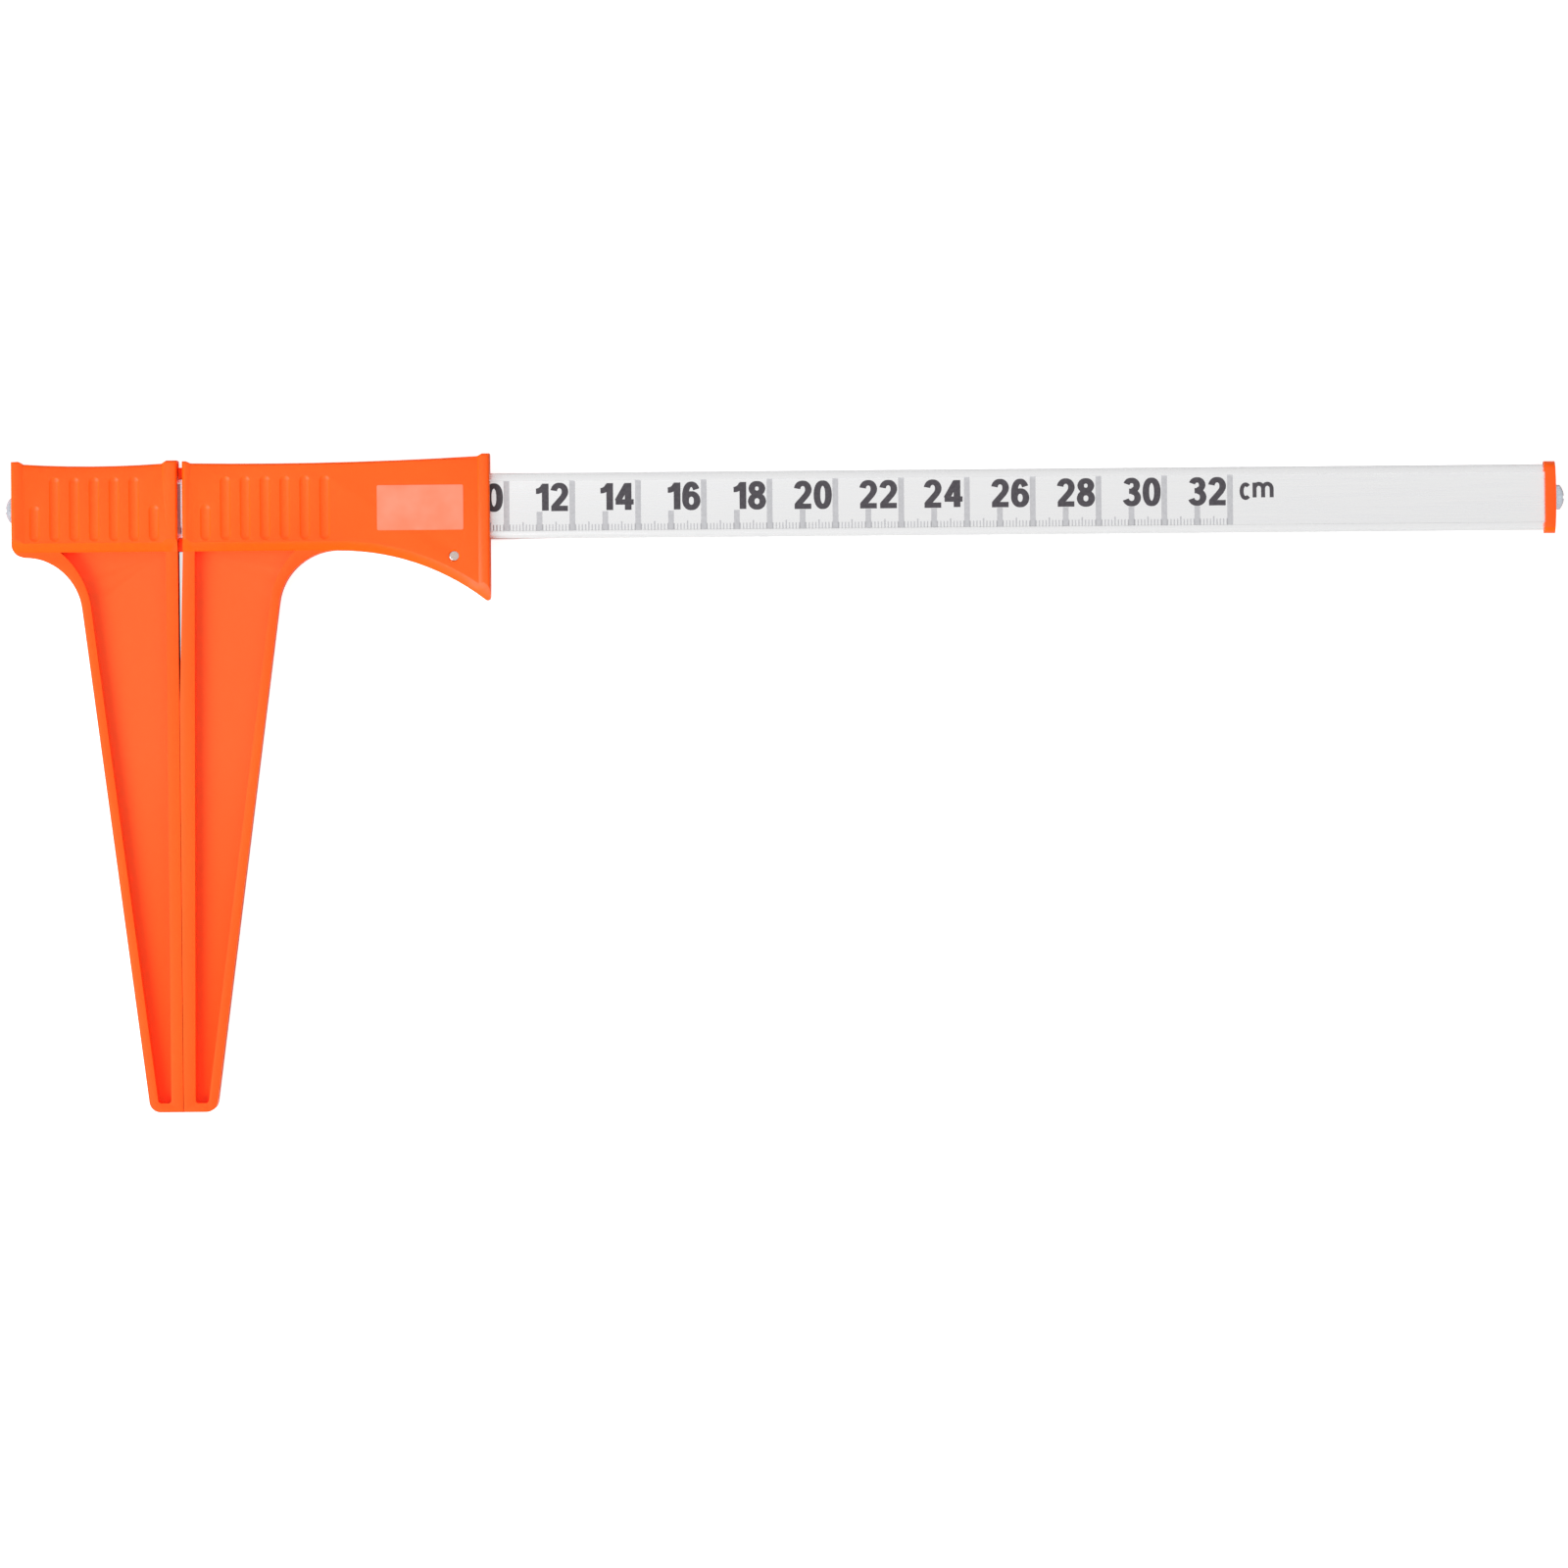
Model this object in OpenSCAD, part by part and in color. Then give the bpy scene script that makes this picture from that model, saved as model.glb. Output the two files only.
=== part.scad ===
// Pocket log caliper with a 32 cm scale, lying on its back.
// X runs along the beam from the fixed jaw to the end cap, Y points away from the jaw tips and Z is up.
// The modules draw with X = 0 at the zero of the scale, Y = 0 on the beam axis and Z = 0 in the beam's
// middle plane. placed() then puts the origin on the resting plane, under the middle of the caliper.

/* [Scale] */
// Length of the scale, and so how far the jaws open on it
scale_len = 320; // [200:10:400]
// Travel left past the end of the scale, up to the end cap
end_travel = 0.6; // [0.3:0.1:3]

/* [Beam] */
// Height of the beam, across the scale
beam_h = 20; // [18:0.5:24]
// Thickness of the beam
beam_t = 8; // [7.5:0.25:9]
// Wall of the hollow beam
beam_wall = 1.2; // [1:0.1:1.5]
// Radius of the beam's long edges
beam_edge_r = 2; // [0.8:0.1:2.2]
// Width of the raised rail on each side of the printed face
rail_w = 2.4; // [2:0.1:3]
// Depth of the printed face below its rails
face_recess = 0.3; // [0.2:0.05:0.4]
// Bore of the screw port inside the beam
port_bore = 3.5; // [3.2:0.1:3.8]
// Wall of the screw port
port_wall = 1; // [0.9:0.1:1.3]

/* [Heads] */
// Length of the fixed jaw's head along the beam
fixed_len = 50.45; // [46:0.05:60]
// Length of the sliding jaw's head along the beam
slide_len = 93.4; // [88:0.05:104]
// Thickness of both heads
head_t = 15; // [14:0.5:18]
// Material over the fixed head's beam channel, where the top edge is lowest
top_wall = 2.95; // [2.5:0.05:4]
// Material over the sliding head's beam channel, where the top edge is lowest
slide_wall = 3.25; // [2.5:0.05:4]
// Radius of the hollow in the fixed head's top edge
fixed_top_r = 310; // [230:10:400]
// Radius of the hollow in the sliding head's top edge
slide_top_r = 1170; // [1000:10:1500]
// Where the sliding head's top edge is lowest, from its left end
slide_top_low = 26.4; // [20:0.1:32]
// Width of the raised flange at the outer end of a head
flange_w = 2.2; // [1.5:0.1:3]
// Width of the flange at the fixed head's measuring end
fixed_face_w = 3.2; // [2:0.1:3.6]
// Width of the flange at the sliding head's measuring end
slide_face_w = 1.2; // [1:0.1:2.5]
// Width of the slope from a flange down to its head
flange_slope = 1.4; // [0.8:0.1:2]
// Rise of the flanges over the head
flange_rise = 0.6; // [0.5:0.1:1.2]
// Rounding of the heads' edges
edge_round = 1; // [0.5:0.1:1.2]
// Height of the bevel under the grip faces
bevel_h = 2.8; // [2:0.1:3.2]
// Wall behind the fixed head's screw
end_wall = 3.2; // [2.5:0.1:5]
// Corner radius under the fixed head's outer end
corner_r = 3.8; // [2:0.1:3.8]

/* [Jaws] */
// Distance from the beam axis to the jaw tips
reach = 183.4; // [150:0.1:220]
// Width of a jaw at the head
blade_root_w = 31.2; // [27:0.1:34]
// Width of a jaw at its tip
blade_tip_w = 9.9; // [9:0.1:13]
// Thickness of a jaw
blade_t = 12; // [10:0.5:13]
// Thickness of the web between the two pockets of a jaw
web_t = 3; // [2:0.1:5]
// Rim along the measuring face
face_rim = 3.6; // [2.5:0.1:4]
// Rim along the outer edge
edge_rim = 2.7; // [2:0.1:3.4]
// Radius of a pocket's corners at the tip
pocket_r = 1; // [0.5:0.1:1.2]
// Radius between a jaw and its head
throat_r = 18; // [14:0.5:22]
// Radius of the outer corner at a jaw tip
tip_r = 3.5; // [2:0.1:4.5]
// Gap between the jaws at the heads, when they are closed
head_gap = 1.55; // [1:0.05:2]
// Gap between the jaws where they close on each other
tip_gap = 0.15; // [0.1:0.05:0.5]
// Distance from the beam axis to where the jaws start to close on each other
touch_low = 60; // [50:1:120]
// How far the fixed jaw's tip leans towards the sliding jaw
tip_lean = 0.25; // [0:0.05:0.5]
// How much lower the fixed head reaches than the sliding head's arch
fixed_drop = 1.4; // [0.5:0.1:2.5]

/* [Finger arch] */
// Radius of the arch between the sliding jaw and the fin
arch_r = 73; // [68:1:90]
// Radius of the fin's lower corner
fin_r = 1; // [0.6:0.1:1.5]

/* [Grip flutes] */
// Full flutes on each face of the fixed head, between two short ones
fixed_flutes = 5; // [3:2:5]
// Full flutes on each face of the sliding head, after a short one
slide_flutes = 6; // [4:1:8]
// Distance from flute to flute
flute_pitch = 6.04; // [5.6:0.02:6.6]
// Width of a flute
flute_w = 3.2; // [2.6:0.1:4.6]
// Depth of a flute
flute_depth = 0.5; // [0.3:0.05:0.8]
// Length of a full flute
flute_len = 19.6; // [16:0.2:20.5]
// Length of the short flutes at the ends of a row
flute_short = 11; // [8:0.2:13]
// Distance from the sliding head's left end to its first flute
flute_start = 7; // [6:0.1:9]

/* [Roller bearing] */
// Outer diameter of the bearing
bearing_d = 10; // [9.4:0.1:10.4]
// Width of the bearing
bearing_w = 4; // [3.6:0.1:5]
// Diameter of the steel pin
pin_d = 3; // [2.6:0.1:3.2]
// Diameter of a bearing ball
ball_d = 1.588; // [1.4:0.01:1.7]
// Distance from the pin to the sliding head's right end
pin_inset = 10.9; // [9:0.1:13]

/* [Screws and end cap] */
// Head diameter of the screws
screw_head_d = 7.5; // [7:0.1:8]
// Head height of the screws
screw_head_h = 2.7; // [2.2:0.1:3]
// Length of the screws under the head
screw_len = 16; // [13:0.5:20]
// Depth of the fixed head's recess for the screw head
screw_sink = 0.6; // [0.3:0.1:1]
// Thickness of the end cap, from its lip to its face
cap_t = 3.3; // [3.2:0.1:5]
// How far the cap's lip reaches over the beam
cap_lip = 0.8; // [0.5:0.1:1.2]
// How much further the lip reaches along the beam's edges
cap_side = 0.3; // [0.2:0.1:1]
// How far the cap stands out round the beam
cap_over = 0.95; // [0.5:0.05:1.2]
// Rise of the cap's curved face
cap_dome = 0.3; // [0.2:0.1:0.8]
// Length of the cap's plugs inside the beam
plug_len = 6; // [4:0.5:10]

/* [Hidden] */
ball_count = 7;

// Clearances
seat_clear = 0.1;      // between a jaw or cap and the beam it is fastened to
slide_clear = 0.25;    // between the sliding jaw and the beam
pin_clear = 0.02;      // round the pin, in the jaw and in the bearing
roll_clear = 0.05;     // between the bearing and the beam, and beside the bearing
screw_clear = 0.35;    // round a screw's shank in the piece that it holds
thread_clear = 0.05;   // between the port and the screw's core
bearing_clear = 0.04;  // between a ball and its grooves
cut = 1;               // how far a cutter passes the surface it opens
arc_fn = 720;          // sides of the very large arcs
ease = 0.3;            // small lead-in chamfers
blend = 0.002;         // how far an arc passes the line that it blends into, so that they cross cleanly

// Bearing
pitch_r = (pin_d + bearing_d) / 4;
shoulder = 0.65;       // from the pitch circle to each ring
cage_half_w = 0.45;    // from the pitch circle to each edge of the cage
cage_wall = 0.2;
shield_t = 0.2;
shield_seat = 0.25;    // depth and width of the outer ring's seat for a shield
slot_side = 0.3;       // room beside the bearing
slot_round = 0.5;      // room round the bearing

// Screws
screw_point = 2;       // length of the tapered point
screw_spot = 0.1;      // depth of the flat that the end cap's screw seats on
recess_w = 4.2;        // across the cross recess
recess_arm = 0.9;      // width of each arm of the recess

// Corner of a pocket under the head, in rims: how much wider its arc is than the throat, and how far its
// centre lies from the throat's
pocket_wider = 3;
pocket_shift = 2;

// Thickness directions
beam_inner_t = beam_t - 2 * face_recess - 2 * beam_wall;
port_d = port_bore + 2 * port_wall;
flange_t = head_t + 2 * flange_rise;

// Heights, from the beam axis
face_over = 0.2;       // how far the grip faces reach below the beam
face_low = beam_h / 2 + face_over;
arch_y = face_low + bevel_h;
fixed_low = arch_y + fixed_drop;
fixed_top = beam_h / 2 + seat_clear + top_wall;
slide_top = beam_h / 2 + slide_clear + slide_wall;
pin_y = -(beam_h / 2 + bearing_d / 2 + roll_clear);

// Places along the beam
slide_end = head_gap + slide_len;
pin_x = slide_end - pin_inset;
cap_x = slide_end + scale_len + end_travel + cap_side;
beam_start = -fixed_len + end_wall + seat_clear;
beam_end = cap_x + cap_lip - seat_clear;
cap_face = cap_x + cap_t;

// Height at x of a hollow of radius r, whose lowest point is low
function hollow_y(x, low, r) = low.y + r - sqrt(r * r - (x - low.x) * (x - low.x));
fixed_hollow = [fixed_len / 2, fixed_top];
slide_hollow = [head_gap + slide_top_low, slide_top];

// Tops of the flanges at a head's left and right end
fixed_high = hollow_y(0, fixed_hollow, fixed_top_r) + flange_rise;
slide_low_flange = hollow_y(head_gap, slide_hollow, slide_top_r) + flange_rise;
slide_high = hollow_y(slide_end, slide_hollow, slide_top_r) + flange_rise;

// Measuring side of each jaw, from the beam axis down to the tip; the fixed jaw is drawn towards +X, then
// mirrored
fixed_side = [[0, 0], [0, -fixed_low], [-tip_lean, -reach]];
touch_x = tip_gap + tip_lean * (touch_low - fixed_low) / (reach - fixed_low);
slide_side = [[head_gap, 0], [head_gap, -arch_y], [touch_x, -touch_low], [tip_lean + tip_gap, -reach]];

// A jaw's outer line runs from [root_x, -low] to [tip_x, -reach]
function lean(root_x, tip_x, low) = atan((root_x - tip_x) / (reach - low));
function edge_x(root_x, tip_x, low, y) = root_x + (y + low) * tan(lean(root_x, tip_x, low));
function throat_x(root_x, tip_x, low) =
    edge_x(root_x, tip_x, low, -low - throat_r) + throat_r / cos(lean(root_x, tip_x, low));

// Whole extents, which place the origin
left_x = -fixed_len - screw_head_h + screw_sink;
right_x = cap_face - screw_spot + screw_head_h;
mid_x = (left_x + right_x) / 2;
mid_y = (slide_high - reach) / 2;

$fn = 96;

module placed() {
    translate([-mid_x, -mid_y, flange_t / 2]) children();
}

// Both faces of the caliper get the same cut
module both_faces() {
    for (side = [0, 1]) mirror([0, 0, side]) children();
}

// Turns a section drawn as [Y, Z] so that it runs along X
module along_x(length) {
    rotate([90, 0, 90]) linear_extrude(length) children();
}

module rounded_rect(w, h, r) {
    square([w - 2 * r, h], center = true);
    square([w, h - 2 * r], center = true);
    for (x = [-1, 1], y = [-1, 1])
        translate([x * (w / 2 - r), y * (h / 2 - r)]) circle(r = r);
}

// Chambers of the hollow beam, on both sides of the screw port, smaller by gap all round
module chambers(gap) {
    difference() {
        rounded_rect(beam_h - 2 * beam_wall - 2 * gap, beam_inner_t - 2 * gap, beam_edge_r / 2);
        circle(d = port_d + 2 * gap);
    }
}

module beam_section() {
    difference() {
        rounded_rect(beam_h, beam_t, beam_edge_r);
        for (side = [-1, 1])
            translate([0, side * (beam_t / 2 - face_recess + cut / 2)])
                square([beam_h - 2 * rail_w, cut], center = true);
        chambers(0);
        circle(d = port_bore);
    }
}

module beam() {
    color("gainsboro")
        placed()
            translate([beam_start, 0, 0])
                along_x(beam_end - beam_start) beam_section();
}

// Outline of a jaw, from the beam axis to its tip, beside its measuring side
module blade_outline(side, low) {
    tip_face = side[len(side) - 1];
    root_x = side[1].x + blade_root_w;
    tip_x = tip_face.x + blade_tip_w;
    a = lean(root_x, tip_x, low);
    throat = [throat_x(root_x, tip_x, low), -low - throat_r];
    tip = [edge_x(root_x, tip_x, low, tip_r - reach) - tip_r / cos(a), tip_r - reach];
    difference() {
        union() {
            polygon(concat(side, [
                [tip.x, -reach],
                [tip.x + tip_r * cos(a), tip.y - tip_r * sin(a)],
                [throat.x - throat_r * cos(a), throat.y + throat_r * sin(a)],
                throat,
                [throat.x, 0],
            ]));
            translate(tip) circle(r = tip_r + blend);
        }
        translate(throat) circle(r = throat_r + blend);
    }
}

// Outline of a jaw's pocket, inside its rims; its corner under the head is a wider arc than the throat
module pocket_outline(side, low) {
    tip_face = side[len(side) - 1];
    root_x = side[1].x + blade_root_w;
    tip_x = tip_face.x + blade_tip_w;
    a = lean(root_x, tip_x, low);
    wide_r = throat_r + pocket_wider * edge_rim;
    shift = pocket_shift * edge_rim;
    wide = [throat_x(root_x, tip_x, low) + shift * cos(a), -low - throat_r - shift * sin(a)];
    bottom = edge_rim - reach;
    inner = [tip_face.x + face_rim + pocket_r, bottom + pocket_r];
    outer = [
        edge_x(root_x, tip_x, low, bottom + pocket_r) - (edge_rim + pocket_r) / cos(a),
        bottom + pocket_r,
    ];
    difference() {
        union() {
            polygon([
                [side[1].x + face_rim, -arch_y],
                [inner.x - pocket_r, inner.y],
                inner,
                [inner.x, bottom],
                [outer.x, bottom],
                outer,
                [outer.x + pocket_r * cos(a), outer.y - pocket_r * sin(a)],
                [wide.x - wide_r * cos(a), wide.y + wide_r * sin(a)],
                wide,
                [wide.x, -arch_y],
            ]);
            for (corner = [inner, outer]) translate(corner) circle(r = pocket_r + blend);
        }
        translate(wide) circle(r = wide_r + blend);
    }
}

module pockets(side, low) {
    both_faces()
        translate([0, 0, web_t / 2])
            linear_extrude(head_t) pocket_outline(side, low);
}

// Cutter that takes a head down to the jaw's thickness, with a bevel under the grip faces
module bevel_section(depth) {
    step = (head_t - blade_t) / 2;
    over = step + flange_rise + cut;
    polygon([[0, 0], [bevel_h * over / step, over], [-depth, over], [-depth, 0]]);
}

module jaw_side_cut(from_x, to_x) {
    both_faces()
        translate([from_x, -arch_y, blade_t / 2])
            along_x(to_x - from_x) bevel_section(reach);
}

// A shallow flute with round ends, cut by a round bar with ball ends
module flute(x, low, high) {
    bar_r = (flute_w * flute_w / 4 + flute_depth * flute_depth) / (2 * flute_depth);
    inset = flute_w / 2;
    both_faces()
        translate([x, 0, head_t / 2 - flute_depth + bar_r]) {
            translate([0, low + inset, 0])
                rotate([-90, 0, 0]) cylinder(r = bar_r, h = high - low - 2 * inset);
            for (y = [low + inset, high - inset])
                translate([0, y, 0]) sphere(r = bar_r);
        }
}

// Where the slope at a flange's inner edge, from [from_x, high] to [to_x, low_y], is at height y
function slope_x(from_x, to_x, high, low_y, y) =
    from_x + (to_x - from_x) * (high - y) / (high - low_y);

// What is taken off a head's top edge between its flanges, whose tops are at left_high and right_high: a
// hollow, and the slopes up to the flanges
module top_cut(from_x, to_x, left_high, right_high, hollow, r) {
    left_y = hollow_y(from_x + flange_slope, hollow, r);
    right_y = hollow_y(to_x - flange_slope, hollow, r);
    above = right_high + 2 * cut;
    under = hollow.y - cut;
    intersection() {
        translate([hollow.x, hollow.y + r]) circle(r = r, $fn = 2 * arc_fn);
        polygon([
            [slope_x(from_x, from_x + flange_slope, left_high, left_y, above), above],
            [slope_x(from_x, from_x + flange_slope, left_high, left_y, under), under],
            [slope_x(to_x, to_x - flange_slope, right_high, right_y, under), under],
            [slope_x(to_x, to_x - flange_slope, right_high, right_y, above), above],
        ]);
    }
}

// A head between x = 0 and x = length, from its outline in XY: its two flanges, whose tops are at left_high
// and at right_high or below, have rounded edges and slope down to the grip faces
module head_block(length, left_w, right_w, left_high, right_high) {
    deep = head_t / 2;
    above = flange_t / 2 + cut;
    left_slope = slope_x(left_w, left_w + flange_slope, flange_t / 2, deep, above);
    right_slope = slope_x(right_w, right_w + flange_slope, flange_t / 2, deep, above);
    intersection() {
        linear_extrude(flange_t, center = true) children();
        for (part = [[0, left_high], [length / 2, right_high]])
            translate([part[0], part[1] - reach / 2, 0])
                along_x(length - part[0]) rounded_rect(reach, flange_t, edge_round);
        rotate([90, 0, 0])
            linear_extrude(2 * reach, center = true)
                difference() {
                    translate([length / 2, 0]) rounded_rect(length, flange_t, edge_round);
                    for (side = [0, 1])
                        mirror([0, side])
                            polygon([
                                [left_w + flange_slope, deep],
                                [left_slope, above],
                                [length - right_slope, above],
                                [length - right_w - flange_slope, deep],
                            ]);
                }
    }
}

// Rounds a head's two edges along its hollow top, between the slopes
module hollow_rounding(from_x, to_x, hollow, r) {
    from_angle = asin((from_x + flange_slope - hollow.x) / r);
    to_angle = asin((to_x - flange_slope - hollow.x) / r);
    both_faces()
        translate([hollow.x, hollow.y + r, 0])
            rotate([0, 0, from_angle - 90])
                rotate_extrude(angle = to_angle - from_angle, $fn = 2 * arc_fn)
                    translate([r + edge_round, head_t / 2 - edge_round])
                        difference() {
                            translate([-edge_round - cut, 0]) square([edge_round + cut, edge_round + cut]);
                            circle(r = edge_round + blend);
                        }
}

module full_flute(x) {
    flute(x, -flute_len / 2, flute_len / 2);
}

module short_flute(x) {
    flute(x, -flute_len / 2, flute_short - flute_len / 2);
}

module fixed_flute_row() {
    last = (fixed_flutes - 1) / 2;
    for (i = [-last:last]) full_flute(fixed_len / 2 + i * flute_pitch);
    for (i = [-last - 1, last + 1]) short_flute(fixed_len / 2 + i * flute_pitch);
}

module slide_flute_row() {
    short_flute(head_gap + flute_start);
    for (i = [1:slide_flutes]) full_flute(head_gap + flute_start + i * flute_pitch);
}

module beam_channel(from_x, to_x, gap) {
    translate([from_x, 0, 0])
        along_x(to_x - from_x)
            rounded_rect(beam_h + 2 * gap, beam_t + 2 * gap, beam_edge_r + gap);
}

module fixed_head_outline() {
    difference() {
        union() {
            translate([0, -fixed_low]) square([fixed_len - corner_r, fixed_low]);
            translate([fixed_len - corner_r, -fixed_low + corner_r]) circle(r = corner_r);
            translate([0, -fixed_low + corner_r])
                square([fixed_len, fixed_low - corner_r + fixed_high + cut]);
        }
        top_cut(fixed_face_w, fixed_len - flange_w, fixed_high, fixed_high, fixed_hollow, fixed_top_r);
    }
}

// Drawn with its measuring face at x = 0 and its head towards +X, then mirrored
module fixed_jaw() {
    color("orangered")
        placed()
            mirror([1, 0, 0])
                difference() {
                    union() {
                        head_block(fixed_len, fixed_face_w, flange_w, fixed_high, fixed_high)
                            fixed_head_outline();
                        linear_extrude(head_t, center = true) blade_outline(fixed_side, fixed_low);
                    }
                    hollow_rounding(fixed_face_w, fixed_len - flange_w, fixed_hollow, fixed_top_r);
                    jaw_side_cut(-cut, fixed_len + cut);
                    pockets(fixed_side, fixed_low);
                    fixed_flute_row();
                    beam_channel(-cut, -beam_start + seat_clear, seat_clear);
                    translate([fixed_len - end_wall - cut, 0, 0])
                        rotate([0, 90, 0])
                            cylinder(d = port_bore + 2 * screw_clear, h = end_wall + 2 * cut);
                    translate([fixed_len - screw_sink, 0, 0])
                        rotate([0, 90, 0])
                            cylinder(d = screw_head_d + 2 * screw_clear, h = screw_sink + cut);
                }
}

// Outline of the sliding head with the finger arch and the fin
module slide_head_outline(arch_x) {
    corner = [
        slide_end - fin_r,
        -arch_y - arch_r + sqrt(pow(arch_r + fin_r, 2) - pow(slide_end - fin_r - arch_x, 2)),
    ];
    toward = atan2(-arch_y - arch_r - corner.y, arch_x - corner.x);
    touch = [corner.x + fin_r * cos(toward), corner.y + fin_r * sin(toward)];
    difference() {
        union() {
            polygon([
                [head_gap, -arch_y],
                [head_gap, slide_high + cut],
                [slide_end, slide_high + cut],
                [slide_end, corner.y],
                corner,
                touch,
                [arch_x, touch.y],
                [arch_x, -arch_y],
            ]);
            translate(corner) circle(r = fin_r + blend);
        }
        top_cut(
            head_gap + slide_face_w,
            slide_end - flange_w,
            slide_low_flange,
            slide_high,
            slide_hollow,
            slide_top_r
        );
        translate([arch_x, -arch_y - arch_r]) circle(r = arch_r, $fn = arc_fn);
    }
}

// Bevel along the arch, which carries on the bevel under the grip faces
module arch_bevel(arch_x) {
    both_faces()
        translate([arch_x, -arch_y - arch_r, blade_t / 2])
            rotate([0, 0, -90])
                rotate_extrude(angle = 180, $fn = arc_fn)
                    translate([arch_r, 0]) bevel_section(arch_r / 2);
}

// Room for the bearing: round at the left, open to the beam channel and to the head's right end
module bearing_slot() {
    room_r = bearing_d / 2 + slot_round;
    room_w = bearing_w + 2 * slot_side;
    difference() {
        translate([pin_x, 0, -room_w / 2])
            linear_extrude(room_w) {
                translate([0, pin_y]) circle(r = room_r);
                translate([-room_r, pin_y]) square([room_r, -pin_y]);
                translate([0, pin_y - room_r]) square([slide_end - pin_x + cut, room_r - pin_y]);
            }
        both_faces()
            translate([pin_x, pin_y, bearing_w / 2 + roll_clear])
                cylinder(r = pitch_r - shoulder, h = slot_side);
    }
}

module pin_hole() {
    translate([pin_x, pin_y, 0]) {
        cylinder(r = pin_d / 2 + pin_clear, h = head_t + 2 * cut, center = true);
        both_faces()
            translate([0, 0, head_t / 2 - ease])
                cylinder(r1 = pin_d / 2 + pin_clear, r2 = pin_d / 2 + pin_clear + 2 * ease, h = 2 * ease);
    }
}

// Pads over and under the beam channel, deep between the heads, that stop the jaws where they close
module stop_pads() {
    translate([touch_x, -arch_y, -beam_t / 2])
        cube([head_gap - touch_x + flange_w, arch_y + slide_top - edge_round, beam_t]);
}

module sliding_jaw() {
    arch_x = throat_x(head_gap + blade_root_w, tip_gap + tip_lean + blade_tip_w, arch_y);
    color("orangered")
        placed()
            difference() {
                union() {
                    translate([head_gap, 0, 0])
                        head_block(slide_len, slide_face_w, flange_w, slide_low_flange, slide_high)
                            translate([-head_gap, 0, 0]) slide_head_outline(arch_x);
                    linear_extrude(head_t, center = true) blade_outline(slide_side, arch_y);
                    stop_pads();
                }
                hollow_rounding(head_gap + slide_face_w, slide_end - flange_w, slide_hollow, slide_top_r);
                jaw_side_cut(-cut, arch_x);
                arch_bevel(arch_x);
                pockets(slide_side, arch_y);
                slide_flute_row();
                beam_channel(-cut, slide_end + cut, slide_clear);
                bearing_slot();
                pin_hole();
            }
}

// Cross recess and domed head, with the head's underside at x = 0 and the shank towards -X
module pan_screw() {
    dome_r = (pow(screw_head_d / 2, 2) + pow(screw_head_h / 2, 2)) / screw_head_h;
    core_r = port_bore / 2 - thread_clear;
    difference() {
        rotate([0, 90, 0]) {
            rotate_extrude()
                intersection() {
                    square([screw_head_d / 2, screw_head_h]);
                    translate([0, screw_head_h - dome_r]) circle(r = dome_r);
                }
            translate([0, 0, -screw_len + screw_point])
                cylinder(r = core_r, h = screw_len - screw_point + ease);
            translate([0, 0, -screw_len]) cylinder(r1 = ease, r2 = core_r, h = screw_point);
        }
        for (turn = [0, 90])
            rotate([turn, 0, 0])
                translate([screw_head_h / 2, -recess_w / 2, -recess_arm / 2])
                    cube([screw_head_h, recess_w, recess_arm]);
    }
}

module fixed_jaw_screw() {
    color("lightsteelblue")
        placed()
            translate([-fixed_len + screw_sink, 0, 0]) mirror([1, 0, 0]) pan_screw();
}

module end_cap_screw() {
    color("lightsteelblue")
        placed()
            translate([cap_face - screw_spot, 0, 0]) pan_screw();
}

module end_cap() {
    cap_h = beam_h + 2 * cap_over;
    cap_w = beam_t + 2 * cap_over;
    dome_r = (pow(cap_h / 2, 2) + cap_dome * cap_dome) / (2 * cap_dome);
    color("orangered")
        placed()
            difference() {
                union() {
                    intersection() {
                        translate([cap_x - cap_side, 0, 0])
                            along_x(cap_t + cap_side) rounded_rect(cap_h, cap_w, beam_edge_r + cap_over);
                        translate([cap_face - dome_r, 0, 0])
                            cylinder(r = dome_r, h = 2 * cap_w, center = true, $fn = arc_fn);
                    }
                    translate([cap_x + cap_lip - plug_len, 0, 0])
                        along_x(plug_len + ease) chambers(seat_clear);
                }
                difference() {
                    beam_channel(cap_x - plug_len, cap_x + cap_lip, seat_clear);
                    translate([cap_x + cap_lip - plug_len, 0, 0])
                        along_x(plug_len + ease) chambers(seat_clear);
                }
                both_faces()
                    translate([cap_x - cap_side - cut, -beam_h / 2 + rail_w, beam_t / 2])
                        cube([cap_side + cut, beam_h - 2 * rail_w, cap_w]);
                translate([cap_x - cut, 0, 0])
                    rotate([0, 90, 0]) cylinder(d = port_bore + 2 * screw_clear, h = cap_t + 2 * cut);
                translate([cap_face - screw_spot, 0, 0])
                    rotate([0, 90, 0]) cylinder(d = screw_head_d + 2 * screw_clear, h = cut);
            }
}

module roller_pin() {
    color("silver")
        placed()
            translate([pin_x, pin_y, 0]) {
                cylinder(d = pin_d, h = head_t - 2 * ease, center = true);
                both_faces()
                    translate([0, 0, head_t / 2 - ease])
                        cylinder(r1 = pin_d / 2, r2 = pin_d / 2 - ease / 2, h = ease / 2);
            }
}

module at_bearing() {
    placed() translate([pin_x, pin_y, 0]) children();
}

// Ball groove of the rings: a torus on the pitch circle
module ball_groove() {
    rotate_extrude() translate([pitch_r, 0]) circle(r = ball_d / 2 + bearing_clear);
}

module ring(inner_r, outer_r, h) {
    difference() {
        cylinder(r = outer_r, h = h, center = true);
        cylinder(r = inner_r, h = h + cut, center = true);
    }
}

module bearing_inner_ring() {
    color("silver")
        at_bearing()
            difference() {
                ring(pin_d / 2 + pin_clear, pitch_r - shoulder, bearing_w);
                ball_groove();
            }
}

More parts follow.
